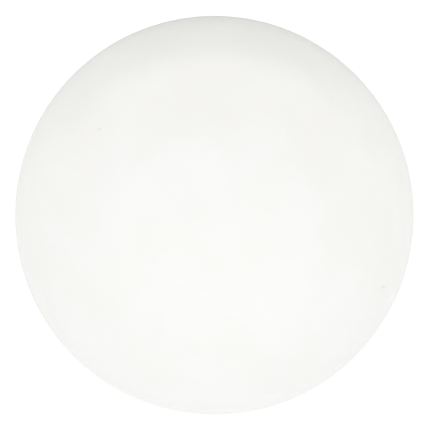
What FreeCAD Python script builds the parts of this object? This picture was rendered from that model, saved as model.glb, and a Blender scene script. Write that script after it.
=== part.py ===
"""Cue ball of a coin-operated pool table, in three pieces that are cast one round another.

A steel ball sits at the very centre, so that a magnet in the table's return track can pull the cue ball
out of the run of object balls. A first pour of light, unfilled resin makes the inner ball round it, and a
second pour of dense white phenolic resin makes the outer shell, which is then ground round and polished.
The light inner ball makes up for the weight of the steel, so the cue ball weighs what an object ball does.

Frame: the origin is the ball's centre, and +Z is up. The ball rests on its lowest point.
Every surface is a sphere about the origin. Lengths are in millimetres, densities in g/cm3, masses in grams.
"""

import FreeCAD, Part
import math
import os

INCH = 25.4

# Driving dimensions
BALL_DIAMETER = 2.25 * INCH  # the size that the rules of pool give
CORE_DIAMETER = 0.625 * INCH  # a stock steel ball
INNER_BALL_DIAMETER = 1.5 * INCH  # the first pour, two thirds of the way out

# What each pour weighs, for the mass that is printed
STEEL_DENSITY = 7.85
UNFILLED_RESIN_DENSITY = 1.27
FILLED_PHENOLIC_DENSITY = 1.74
MM3_PER_CM3 = 1000.0

PARTS_FOLDER = "parts"


def ball(diameter):
    """A solid ball about the origin."""
    return Part.makeSphere(diameter / 2)


def spherical_shell(outer_diameter, cavity_diameter):
    """A ball about the origin, with a ball-shaped cavity about the same centre."""
    return ball(outer_diameter).cut(ball(cavity_diameter))


def steel_core():
    """The steel ball that the magnet pulls."""
    return ball(CORE_DIAMETER)


def inner_ball():
    """The first pour, which holds the steel core at its centre."""
    return spherical_shell(INNER_BALL_DIAMETER, CORE_DIAMETER)


def outer_shell():
    """The second pour: the white wall that is ground to size and polished."""
    return spherical_shell(BALL_DIAMETER, INNER_BALL_DIAMETER)


def volume_of_shell(outer_diameter, cavity_diameter=0.0):
    """The exact volume between two balls about one centre, to hold the solids against."""
    return math.pi / 6 * (outer_diameter**3 - cavity_diameter**3)


def write(name, solid, exact_volume, density):
    """Checks one solid, writes its STEP file, and returns its mass."""
    if not solid.isValid() or len(solid.Solids) != 1:
        raise ValueError(f"{name} isn't one valid solid")
    if abs(solid.Volume - exact_volume) > 1e-4 * exact_volume:
        raise ValueError(f"{name} has a volume of {solid.Volume:.1f}, and not {exact_volume:.1f}")
    solid.exportStep(os.path.join(PARTS_FOLDER, f"{name}.step"))
    mass = solid.Volume / MM3_PER_CM3 * density
    print(f"{name}: {solid.Volume:.1f} mm3, {mass:.1f} g")
    return mass


def main():
    os.makedirs(PARTS_FOLDER, exist_ok=True)
    core_volume = volume_of_shell(CORE_DIAMETER)
    inner_volume = volume_of_shell(INNER_BALL_DIAMETER, CORE_DIAMETER)
    outer_volume = volume_of_shell(BALL_DIAMETER, INNER_BALL_DIAMETER)
    masses = [
        write("steel_core", steel_core(), core_volume, STEEL_DENSITY),
        write("inner_ball", inner_ball(), inner_volume, UNFILLED_RESIN_DENSITY),
        write("outer_shell", outer_shell(), outer_volume, FILLED_PHENOLIC_DENSITY),
    ]
    print(f"whole ball: {sum(masses):.1f} g")


main()
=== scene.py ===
import math
import random
from collections import namedtuple

import bmesh
import bpy
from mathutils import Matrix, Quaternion, Vector


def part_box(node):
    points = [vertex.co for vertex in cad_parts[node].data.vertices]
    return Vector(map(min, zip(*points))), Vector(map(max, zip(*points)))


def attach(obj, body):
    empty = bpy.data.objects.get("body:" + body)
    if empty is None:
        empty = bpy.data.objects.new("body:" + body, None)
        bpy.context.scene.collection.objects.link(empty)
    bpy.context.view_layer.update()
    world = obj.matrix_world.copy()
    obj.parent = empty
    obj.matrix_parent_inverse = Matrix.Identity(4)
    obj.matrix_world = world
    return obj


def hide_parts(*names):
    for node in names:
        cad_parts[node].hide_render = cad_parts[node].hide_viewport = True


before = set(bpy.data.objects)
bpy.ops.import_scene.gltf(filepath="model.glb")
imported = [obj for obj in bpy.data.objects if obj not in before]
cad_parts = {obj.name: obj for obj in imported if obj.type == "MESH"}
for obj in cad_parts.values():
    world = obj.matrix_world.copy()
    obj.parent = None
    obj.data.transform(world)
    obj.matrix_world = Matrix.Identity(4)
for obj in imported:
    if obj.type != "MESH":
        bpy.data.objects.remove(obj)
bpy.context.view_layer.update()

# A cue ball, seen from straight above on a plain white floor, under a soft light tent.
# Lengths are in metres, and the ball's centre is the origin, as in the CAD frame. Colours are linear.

MM = 0.001


def radius_of(node):
    """The radius of a ball-shaped CAD node. Its mesh has a point at each pole, so its height is exact."""
    low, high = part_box(node)
    return (high.z - low.z) / 2


BALL_RADIUS = radius_of("outer_shell")
CAVITY_RADIUS = radius_of("inner_ball")

# ---------------------------------------------------------------- the white shell

# How many cells lie along each of a ball's quarter circles.
SURFACE_CELLS = 104
CAVITY_CELLS = 40

# A small chip out of the polished surface. It lies in this direction from the centre, its length runs at
# this angle in degrees from +X as seen from outside, and it holds so much yellow stain and so much grey tint.
# The first two stand for the two specks in the photograph. The others are guesses, on sides that it
# doesn't show.
Nick = namedtuple("Nick", "direction length width depth angle stain grime")
NICKS = (
    Nick((-0.555, 0.414, 0.722), 0.80 * MM, 0.34 * MM, 0.020 * MM, -18, 1.0, 0.0),
    Nick((0.826, -0.351, 0.441), 1.15 * MM, 0.42 * MM, 0.030 * MM, -36, 0.0, 0.6),
    Nick((0.35, 0.88, -0.32), 0.80 * MM, 0.45 * MM, 0.045 * MM, 35, 0.2, 0.8),
    Nick((-0.80, -0.30, -0.52), 0.45 * MM, 0.30 * MM, 0.025 * MM, -60, 0.9, 0.2),
    Nick((0.15, -0.62, -0.77), 0.55 * MM, 0.50 * MM, 0.030 * MM, 0, 0.1, 0.6),
)
STAIN_LAYER = "stain"
GREY_TINT_LAYER = "grime"
# The mesh is made finer round a nick in steps: how far out, in lengths of the nick, and the cuts per edge.
REFINING_STEPS = ((1.6, 2), (0.9, 2), (0.75, 1))
# How soon a nick reaches its full depth, and its stain its full strength, going in from the rim.
WALL_STEEPNESS = 1.6
STAIN_STEEPNESS = 2
SHALLOW_END = 0.5  # the share of its depth that a nick has at one end of its length


def round_surface(radius, cells):
    """A bmesh of a ball made of six square patches, with cells of nearly one size."""
    bm = bmesh.new()
    bmesh.ops.create_cube(bm, size=2)
    bmesh.ops.subdivide_edges(bm, edges=bm.edges, cuts=cells - 1, use_grid_fill=True)
    for vert in bm.verts:
        even = Vector(math.tan(math.pi / 4 * part) for part in vert.co)
        vert.co = even.normalized() * radius
    return bm


def refine_near(bm, centre, reach, cuts):
    """Divides the faces that lie within reach of a point, and puts the new points on the ball."""
    faces = [face for face in bm.faces if (face.calc_center_median() - centre).length < reach]
    edges = list({edge for face in faces for edge in face.edges})
    bmesh.ops.subdivide_edges(bm, edges=edges, cuts=cuts, use_grid_fill=True)
    for vert in bm.verts:
        if (vert.co - centre).length < 2 * reach:
            vert.co = vert.co.normalized() * centre.length


def cut_nick(bm, nick, stain, grime):
    """Sinks a chip with a sharp, uneven rim into the surface, and marks its yellow stain and its grey tint.
    """
    out = Vector(nick.direction).normalized()
    centre = out * BALL_RADIUS
    rightward = Vector((1, 0, 0)) - out * out.x
    along = Quaternion(out, math.radians(nick.angle)) @ rightward.normalized()
    across = out.cross(along)
    for lengths_out, cuts in REFINING_STEPS:
        refine_near(bm, centre, lengths_out * nick.length, cuts)
    for vert in bm.verts:
        offset = vert.co - centre
        if offset.length > nick.length:
            continue
        x = offset.dot(along) / (nick.length / 2)
        y = offset.dot(across) / (nick.width / 2)
        around = math.atan2(y, x)
        # Three wide waves and five narrow ones. The nick's angle only shifts them, so that the rims differ.
        rim = 1 + 0.16 * math.cos(3 * around + nick.angle) + 0.09 * math.cos(5 * around - nick.angle)
        inside = 1 - (x * x + y * y) / rim**2
        if inside <= 0:
            continue
        floor_slope = (1 + SHALLOW_END) / 2 + (1 - SHALLOW_END) / 2 * x
        vert.co -= out * nick.depth * min(1, WALL_STEEPNESS * inside) * floor_slope
        vert[stain] = nick.stain * min(1, STAIN_STEEPNESS * inside)
        # The grey tint is full in the nick's middle and fades out towards its rim.
        vert[grime] = nick.grime * min(1, STAIN_STEEPNESS * inside)


def build_polished_shell():
    """The white wall of the ball: its polished surface with its nicks, and the cavity that the core fills."""
    inner = round_surface(CAVITY_RADIUS, CAVITY_CELLS)
    bmesh.ops.reverse_faces(inner, faces=inner.faces)
    cavity = bpy.data.meshes.new("cavity_wall")
    inner.to_mesh(cavity)
    inner.free()

    bm = round_surface(BALL_RADIUS, SURFACE_CELLS)
    stain = bm.verts.layers.float.new(STAIN_LAYER)
    grime = bm.verts.layers.float.new(GREY_TINT_LAYER)
    for nick in NICKS:
        cut_nick(bm, nick, stain, grime)
    bm.from_mesh(cavity)
    bpy.data.meshes.remove(cavity)
    bmesh.ops.triangulate(bm, faces=[face for face in bm.faces if len(face.verts) > 4])
    for face in bm.faces:
        face.smooth = True
    mesh = bpy.data.meshes.new("polished_shell")
    bm.to_mesh(mesh)
    bm.free()
    shell = bpy.data.objects.new("polished_shell", mesh)
    bpy.context.scene.collection.objects.link(shell)
    return shell


# ---------------------------------------------------------------- materials


def add_node(tree, kind, inputs, **settings):
    """Adds a node. inputs holds a value or another node's output for each input, by its name or number."""
    node = tree.nodes.new(kind)
    for name, value in settings.items():
        setattr(node, name, value)
    for key, value in inputs.items():
        if isinstance(value, bpy.types.NodeSocket):
            tree.links.new(value, node.inputs[key])
        else:
            node.inputs[key].default_value = value
    return node


def calculate(tree, operation, *values):
    """One step of arithmetic on numbers."""
    return add_node(tree, "ShaderNodeMath", dict(enumerate(values)), operation=operation).outputs[0]


def calculate_vector(tree, operation, *values):
    """One step of arithmetic on vectors or colours."""
    node = add_node(tree, "ShaderNodeVectorMath", dict(enumerate(values)), operation=operation)
    return node.outputs["Value" if operation == "DOT_PRODUCT" else "Vector"]


def ramp(tree, value, low, high, at_low=0.0, at_high=1.0):
    """at_low up to low and at_high from high on, with a soft change between."""
    inputs = {"Value": value, "From Min": low, "From Max": high, "To Min": at_low, "To Max": at_high}
    return add_node(tree, "ShaderNodeMapRange", inputs, interpolation_type="SMOOTHSTEP").outputs["Result"]


def blend_colours(tree, share, first, second):
    """first where share is 0, and second where it is 1."""
    # A Mix node has inputs and a result for every kind of data. These numbers are the colours' own.
    inputs = {"Factor": share, 6: first, 7: second}
    return add_node(tree, "ShaderNodeMix", inputs, data_type="RGBA").outputs[2]


def cloud(tree, place, size, detail, seed=0.0):
    """Soft random patches about as wide as size, from 0 to 1."""
    inputs = {"Vector": place, "W": seed, "Scale": 1 / size, "Detail": detail, "Roughness": 0.55}
    return add_node(tree, "ShaderNodeTexNoise", inputs, noise_dimensions="4D").outputs["Fac"]


def new_material(name):
    """A material and its Principled shader."""
    material = bpy.data.materials.new(name)
    material.use_nodes = True
    return material, material.node_tree.nodes["Principled BSDF"]


def place_on_piece(tree):
    """Where each point of the piece is, in the piece's own frame."""
    return add_node(tree, "ShaderNodeTexCoord", {}).outputs["Object"]


WHITE = (0.792, 0.792, 0.783, 1)
IVORY = (0.774, 0.772, 0.757, 1)
STAINED = (0.672, 0.671, 0.632, 1)
# The grey tint inside the nicks.
NICK_GREY = (0.60, 0.60, 0.585, 1)
PATCH_SIZE = 9 * MM
GRAIN_SIZE = 0.35 * MM
GRAIN_SHARE = 0.25  # the share of the grain in the unevenness, of which the patches make up the rest
HANDLING_SIZE = 12 * MM
POLISHED_ROUGHNESS = 0.09
HANDLED_ROUGHNESS = 0.15
HAIRLINE_ROUGHNESS = 0.12  # added to the surface's own, as is the next
NICK_ROUGHNESS = 0.35
PHENOLIC_IOR = 1.6
HAIRLINES = 14
HAIRLINE_SEED = 8
HAIRLINE_WIDTH = 0.08 * MM
HAIRLINE_DEPTH = 0.002 * MM
HAIRLINE_REACH = 0.8  # how far from the ball's middle a hairline's circle can lie, in radii of the ball
GAP_SIZE = 14 * MM
GAP_EDGE = (0.56, 0.66)  # a hairline fades in where its cloud rises from one to the other
# A cloud's values lie mostly between these, so that a ramp between them goes from one look to the other.
CLOUD_RANGE = (0.35, 0.65)
WIDE_CLOUD_RANGE = (0.3, 0.7)


def hairlines(tree, place):
    """Fine scratches. Something that slides over a ball leaves an arc of a circle, here with gaps in it."""
    dice = random.Random(HAIRLINE_SEED)
    total = 0.0
    for number in range(HAIRLINES):
        axis = Vector(dice.gauss(0, 1) for _ in range(3)).normalized()
        height = dice.uniform(-HAIRLINE_REACH, HAIRLINE_REACH) * BALL_RADIUS
        above = calculate_vector(tree, "DOT_PRODUCT", place, axis)
        distance = calculate(tree, "ABSOLUTE", calculate(tree, "SUBTRACT", above, height))
        line = ramp(tree, distance, 0.0, HAIRLINE_WIDTH, 1.0, 0.0)
        present = ramp(tree, cloud(tree, place, GAP_SIZE, detail=0.0, seed=float(number)), *GAP_EDGE)
        total = calculate(tree, "MULTIPLY_ADD", line, present, total)
    return calculate(tree, "MINIMUM", total, 1.0)


def make_white_phenolic():
    """Cast white phenolic, ground and polished: faintly cloudy, fine-grained, with faint hairlines."""
    material, shader = new_material("white_phenolic")
    tree = material.node_tree
    place = place_on_piece(tree)
    patches = ramp(tree, cloud(tree, place, PATCH_SIZE, detail=3.0), *CLOUD_RANGE)
    grain = ramp(tree, cloud(tree, place, GRAIN_SIZE, detail=1.0), *WIDE_CLOUD_RANGE)
    patch_part = calculate(tree, "MULTIPLY", patches, 1 - GRAIN_SHARE)
    ivory_share = calculate(tree, "MULTIPLY_ADD", grain, GRAIN_SHARE, patch_part)
    stain = add_node(tree, "ShaderNodeAttribute", {}, attribute_name=STAIN_LAYER).outputs["Fac"]
    grime = add_node(tree, "ShaderNodeAttribute", {}, attribute_name=GREY_TINT_LAYER).outputs["Fac"]
    colour = blend_colours(tree, ivory_share, WHITE, IVORY)
    colour = blend_colours(tree, stain, colour, STAINED)
    colour = blend_colours(tree, grime, colour, NICK_GREY)
    tree.links.new(colour, shader.inputs["Base Color"])

    scratches = hairlines(tree, place)
    handling = cloud(tree, place, HANDLING_SIZE, detail=2.0, seed=5.0)
    surface = ramp(tree, handling, *WIDE_CLOUD_RANGE, POLISHED_ROUGHNESS, HANDLED_ROUGHNESS)
    with_hairlines = calculate(tree, "MULTIPLY_ADD", scratches, HAIRLINE_ROUGHNESS, surface)
    nick_tints = calculate(tree, "ADD", stain, grime)
    roughness = calculate(tree, "MULTIPLY_ADD", nick_tints, NICK_ROUGHNESS, with_hairlines)
    tree.links.new(roughness, shader.inputs["Roughness"])
    height = calculate(tree, "SUBTRACT", 1.0, scratches)
    inputs = {"Height": height, "Strength": 1.0, "Distance": HAIRLINE_DEPTH}
    tree.links.new(add_node(tree, "ShaderNodeBump", inputs).outputs[0], shader.inputs["Normal"])
    shader.inputs["IOR"].default_value = PHENOLIC_IOR
    return material


AMBER = (0.46, 0.33, 0.17, 1)
PALE_AMBER = (0.56, 0.43, 0.26, 1)
# Painted shade: the darker amber inside the pinholes.
PINHOLE_SHADE = (0.22, 0.14, 0.06, 1)
SWIRL_SIZE = 16 * MM
SWIRL_TWIST = 2.5
PINHOLE_SPACING = 2.2 * MM
PINHOLE_EDGE = (0.06, 0.12)  # a pinhole's radius where its wall begins and ends, in spacings
PINHOLE_DEPTH = 0.12 * MM
RESIN_ROUGHNESS = (0.42, 0.56)
RESIN_IOR = 1.56


def make_core_resin():
    """Unfilled resin as it comes from the mould: matte, with swirls from the pour and small pinholes, painted
    darker inside as shade.
    """
    material, shader = new_material("core_resin")
    tree = material.node_tree
    place = place_on_piece(tree)
    inputs = {"Vector": place, "Scale": 1 / SWIRL_SIZE, "Detail": 4.0, "Distortion": SWIRL_TWIST}
    swirl = add_node(tree, "ShaderNodeTexNoise", inputs).outputs["Fac"]
    colour = blend_colours(tree, ramp(tree, swirl, *CLOUD_RANGE), AMBER, PALE_AMBER)
    cells = add_node(tree, "ShaderNodeTexVoronoi", {"Vector": place, "Scale": 1 / PINHOLE_SPACING})
    sound = ramp(tree, cells.outputs["Distance"], *PINHOLE_EDGE)
    # The pinholes are painted darker inside, as shade.
    tree.links.new(blend_colours(tree, sound, PINHOLE_SHADE, colour), shader.inputs["Base Color"])
    roughness = ramp(tree, swirl, *WIDE_CLOUD_RANGE, *RESIN_ROUGHNESS)
    tree.links.new(roughness, shader.inputs["Roughness"])
    inputs = {"Height": sound, "Strength": 1.0, "Distance": PINHOLE_DEPTH}
    tree.links.new(add_node(tree, "ShaderNodeBump", inputs).outputs[0], shader.inputs["Normal"])
    shader.inputs["IOR"].default_value = RESIN_IOR
    return material


BRIGHT_STEEL = (0.60, 0.61, 0.62, 1)
DULL_STEEL = (0.47, 0.47, 0.47, 1)
BRIGHT_ROUGHNESS = 0.22
DULL_ROUGHNESS = 0.40
DULL_PATCH_SIZE = 5 * MM
DULL_PATCH_EDGE = (0.4, 0.7)
LAPPING_SIZE = 0.3 * MM
LAPPING_DEPTH = 0.01 * MM


def make_core_steel():
    """A lapped steel ball, dull in patches where the warm resin has touched it."""
    material, shader = new_material("core_steel")
    tree = material.node_tree
    place = place_on_piece(tree)
    dull = ramp(tree, cloud(tree, place, DULL_PATCH_SIZE, detail=3.0), *DULL_PATCH_EDGE)
    lapping = cloud(tree, place, LAPPING_SIZE, detail=2.0)
    tree.links.new(blend_colours(tree, dull, BRIGHT_STEEL, DULL_STEEL), shader.inputs["Base Color"])
    roughness = ramp(tree, dull, 0.0, 1.0, BRIGHT_ROUGHNESS, DULL_ROUGHNESS)
    tree.links.new(roughness, shader.inputs["Roughness"])
    inputs = {"Height": lapping, "Strength": 0.6, "Distance": LAPPING_DEPTH}
    tree.links.new(add_node(tree, "ShaderNodeBump", inputs).outputs[0], shader.inputs["Normal"])
    shader.inputs["Metallic"].default_value = 1.0
    return material


def give_material(piece, material):
    """The piece shows this material and no other."""
    piece.data.materials.clear()
    piece.data.materials.append(material)


# ---------------------------------------------------------------- the floor, the light and the camera

FLOOR_RADIUS = 4.0
FLOOR_SIDES = 96
FLOOR_WHITE = (0.95, 0.95, 0.95, 1)
FLOOR_GLOW = 0.08


def build_floor():
    """A plain white floor that the ball rests on. A faint glow of its own keeps it white near the ball."""
    bm = bmesh.new()
    bmesh.ops.create_circle(bm, cap_ends=True, radius=FLOOR_RADIUS, segments=FLOOR_SIDES)
    bmesh.ops.translate(bm, verts=bm.verts, vec=(0, 0, -BALL_RADIUS))
    mesh = bpy.data.meshes.new("floor")
    bm.to_mesh(mesh)
    bm.free()
    floor = bpy.data.objects.new("floor", mesh)
    bpy.context.scene.collection.objects.link(floor)
    material, shader = new_material("floor_white")
    shader.inputs["Base Color"].default_value = FLOOR_WHITE
    shader.inputs["Roughness"].default_value = 1.0
    shader.inputs["Specular IOR Level"].default_value = 0.0
    shader.inputs["Emission Color"].default_value = (1, 1, 1, 1)
    shader.inputs["Emission Strength"].default_value = FLOOR_GLOW
    give_material(floor, material)
    # The ball's gloss shows the tent's own lower half in place of the floor.
    floor.visible_glossy = False


# How bright the tent is in each direction, as red, green and blue. Its walls are even, with a soft panel
# overhead that leans to the front (-Y). Its base, which only reflections see, is a little brighter at the
# front. It darkens behind, a little at the bottom and more towards the horizon.
# The colours come from a least-squares fit to how light the ball is from place to place in the photograph.
# The walls' and the panel's are that fit's, rounded to two decimals. Nine of the base's twelve numbers were
# then moved, to keep the light from going below zero and to dim a ring near the ball's rim.
WALLS = (1.03, 1.02, 1.00)
PANEL = (0.23, 0.24, 0.26)
PANEL_DIRECTION = (0, -0.28, 0.96)
PANEL_EDGE = (0.35, 0.60)  # the edge is soft between these cosines of the angle from its middle
BASE = (0.88, 0.88, 0.86)
BASE_FRONT = (0.06, 0.06, 0.08)
BASE_BEHIND = (-0.30, -0.30, -0.30)
HORIZON_BEHIND = (-0.54, -0.50, -0.56)
HORIZON = (-0.50, -0.03)  # the base turns into the walls between these heights of a direction


def light_sum(tree, start, *terms):
    """A colour, plus each term's colour as often as its number says."""
    total = start
    for number, colour in terms:
        total = calculate_vector(tree, "MULTIPLY_ADD", number, colour, total)
    return total


def build_light_tent():
    """Soft light from all round, which is the world's own light."""
    world = bpy.data.worlds.new("light_tent")
    bpy.context.scene.world = world
    world.use_nodes = True
    tree = world.node_tree
    direction = add_node(tree, "ShaderNodeTexCoord", {}).outputs["Generated"]
    in_panel = ramp(tree, calculate_vector(tree, "DOT_PRODUCT", direction, PANEL_DIRECTION), *PANEL_EDGE)
    walls = light_sum(tree, WALLS, (in_panel, PANEL))
    level = calculate_vector(tree, "NORMALIZE", calculate_vector(tree, "MULTIPLY", direction, (1, 1, 0)))
    northing = calculate_vector(tree, "DOT_PRODUCT", level, (0, 1, 0))
    front = calculate(tree, "MAXIMUM", calculate(tree, "MULTIPLY", northing, -1.0), 0.0)
    behind = calculate(tree, "POWER", calculate(tree, "MAXIMUM", northing, 0.0), 2.0)
    y = calculate_vector(tree, "DOT_PRODUCT", direction, (0, 1, 0))
    z = calculate_vector(tree, "DOT_PRODUCT", direction, (0, 0, 1))
    towards_horizon = calculate(tree, "POWER", calculate(tree, "MAXIMUM", y, 0.0), 2.0)
    base = light_sum(
        tree, BASE, (front, BASE_FRONT), (behind, BASE_BEHIND), (towards_horizon, HORIZON_BEHIND)
    )
    light = blend_colours(tree, ramp(tree, z, *HORIZON), base, walls)
    tree.links.new(light, tree.nodes["Background"].inputs["Color"])


CAMERA_DISTANCE = 0.5
BALL_SHARE_OF_FRAME = 0.9276
SHIFT_RIGHT = 0.0013
SHIFT_UP = 0.0007


def build_camera():
    """Looks straight down at the ball, which fills its share of the frame's width."""
    data = bpy.data.cameras.new("camera")
    half_angle = math.asin(BALL_RADIUS / CAMERA_DISTANCE)
    data.lens = data.sensor_width * BALL_SHARE_OF_FRAME / 2 / math.tan(half_angle)
    data.shift_x = SHIFT_RIGHT
    data.shift_y = SHIFT_UP
    camera = bpy.data.objects.new("camera", data)
    camera.location = (0, 0, CAMERA_DISTANCE)
    bpy.context.scene.collection.objects.link(camera)
    bpy.context.scene.camera = camera


# ---------------------------------------------------------------- the scene


shell = build_polished_shell()
give_material(shell, make_white_phenolic())
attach(shell, "root")
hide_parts("outer_shell")
give_material(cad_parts["inner_ball"], make_core_resin())
give_material(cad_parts["steel_core"], make_core_steel())
build_floor()
build_light_tent()
build_camera()
bpy.context.scene.view_settings.view_transform = "Standard"
